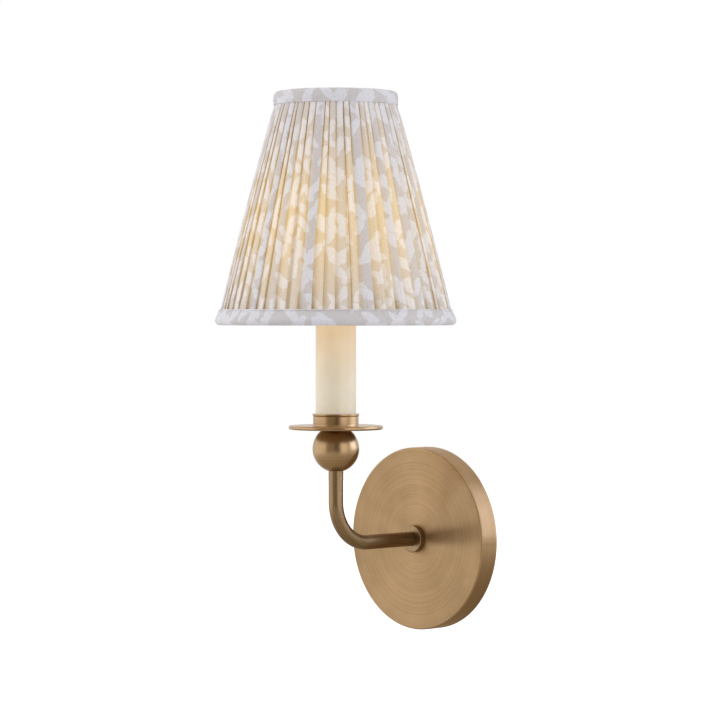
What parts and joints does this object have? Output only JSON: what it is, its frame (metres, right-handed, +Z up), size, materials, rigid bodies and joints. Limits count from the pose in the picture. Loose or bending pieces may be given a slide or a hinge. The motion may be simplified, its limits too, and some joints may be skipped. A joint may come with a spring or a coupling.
{
  "type": "fabric shade wall light",
  "caption": "Wall light with a round brass plate, a bent tube arm, a ball, a drip pan, a candle sleeve and a pleated fabric shade clipped to its bulb.",
  "frame": {"origin": "centre of the wall plate's open back, on the wall, midway between the crossbar's two slots", "axes": "+Z up, +Y into the wall; the light stands out from the wall along -Y"},
  "size_m": [0.1638, 0.1739, 0.371],
  "materials": {
    "aged_brass": "aged and brushed",
    "zinc_plated_steel": "zinc plated",
    "green_screw": "green dyed",
    "black_nylon": "moulded",
    "ivory_sleeve": "satin moulded",
    "phenolic_black": "moulded phenolic",
    "bright_brass": "stamped",
    "nickel_cap": "nickel plated",
    "bulb_glass": "soft white",
    "stem_glass": "clear",
    "filament_phosphor": "phosphor coated",
    "filament_wire": "drawn",
    "clip_wire": "brass plated spring wire",
    "white_frame_wire": "white coated wire",
    "lining_cloth": "thin woven",
    "pleated_cloth": "printed linen, pleated",
    "band_cloth": "printed linen, flat",
    "lead_black": "insulation",
    "lead_white": "insulation",
    "lead_green": "insulation",
    "connector_orange": "moulded"
  },
  "bodies": {
    "fixture": {"arm_bushing": "black_nylon", "arm_collar": "aged_brass", "arm_lock_nut": "zinc_plated_steel", "arm_lock_washer": "zinc_plated_steel", "arm_tube": "aged_brass", "back_plate": "aged_brass", "candle_cup": "aged_brass", "cup_lock_nut": "zinc_plated_steel", "cup_lock_washer": "zinc_plated_steel", "drip_pan": "aged_brass", "earth_lead": "lead_green", "ground_lug": "zinc_plated_steel", "ground_screw": "green_screw", "lampholder_body": "phenolic_black", "lampholder_contact": "bright_brass", "lampholder_leg": "zinc_plated_steel", "lampholder_rivet": "zinc_plated_steel", "lampholder_shell": "bright_brass", "lampholder_terminals": "bright_brass", "live_lead": "lead_black", "mounting_bar": "zinc_plated_steel", "neutral_lead": "lead_white", "plate_grub_screws": "zinc_plated_steel", "stem_ball": "aged_brass", "stem_nipple": "zinc_plated_steel", "wire_connectors": "connector_orange"},
    "candle": {"candle_sleeve": "ivory_sleeve"},
    "bulb": {"bulb_cap": "nickel_cap", "bulb_filament_holders": "filament_wire", "bulb_filaments": "filament_phosphor", "bulb_glass": "bulb_glass", "bulb_glass_stem": "stem_glass", "bulb_insulator": "phenolic_black", "bulb_tip_contact": "nickel_cap"},
    "shade": {"clip_crossbar": "clip_wire", "clip_loop_left": "clip_wire", "clip_loop_right": "clip_wire", "pleated_cover": "pleated_cloth", "shade_bottom_band": "band_cloth", "shade_bottom_ring": "white_frame_wire", "shade_lining": "lining_cloth", "shade_rib_1": "white_frame_wire", "shade_rib_2": "white_frame_wire", "shade_rib_3": "white_frame_wire", "shade_rib_4": "white_frame_wire", "shade_rib_5": "white_frame_wire", "shade_rib_6": "white_frame_wire", "shade_top_band": "band_cloth", "shade_top_ring": "white_frame_wire"}
  },
  "joints": [
    {"name": "sleeve_lift", "type": "slide", "parent": "fixture", "child": "candle", "axis": [0, 0, 1], "range_m": [0, 0.01]},
    {"name": "bulb_turn", "type": "hinge", "parent": "fixture", "child": "bulb", "pos_m": [0, -0.092, 0.18], "axis": [0, 0, 1], "range_deg": [0, 1170]},
    {"name": "shade_lift", "type": "slide", "parent": "bulb", "child": "shade", "axis": [0, 0, 1], "range_m": [0, 0.12]}
  ]
}
